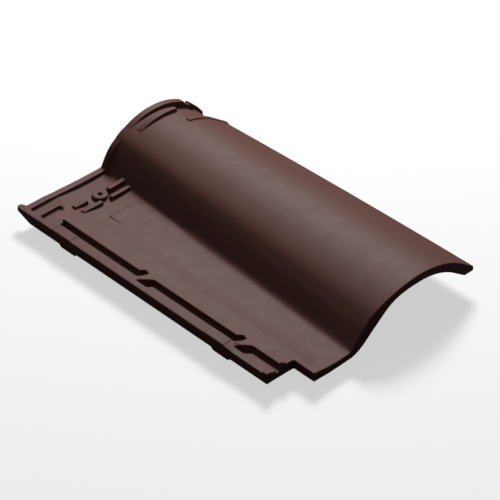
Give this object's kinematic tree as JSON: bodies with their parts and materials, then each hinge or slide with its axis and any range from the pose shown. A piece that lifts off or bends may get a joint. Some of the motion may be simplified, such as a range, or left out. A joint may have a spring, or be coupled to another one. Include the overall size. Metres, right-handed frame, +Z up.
{
  "type": "clay roof tile",
  "caption": "Interlocking pantile in fired clay: flat water pan, hollow roll, grooved side lock, ribbed head lock, nail hole and hanging nibs.",
  "frame": {"origin": "middle of the tile's length and width, on the level that the hanging nibs reach", "axes": "+X across the slope from the side lock to the covering edge of the roll, +Y up the slope from foot to head, +Z up out of the weather face"},
  "size_m": [0.295, 0.452, 0.0735],
  "materials": {
    "engobed_clay": "satin"
  },
  "bodies": {
    "root": {"roof_tile": "engobed_clay"}
  },
  "joints": []
}
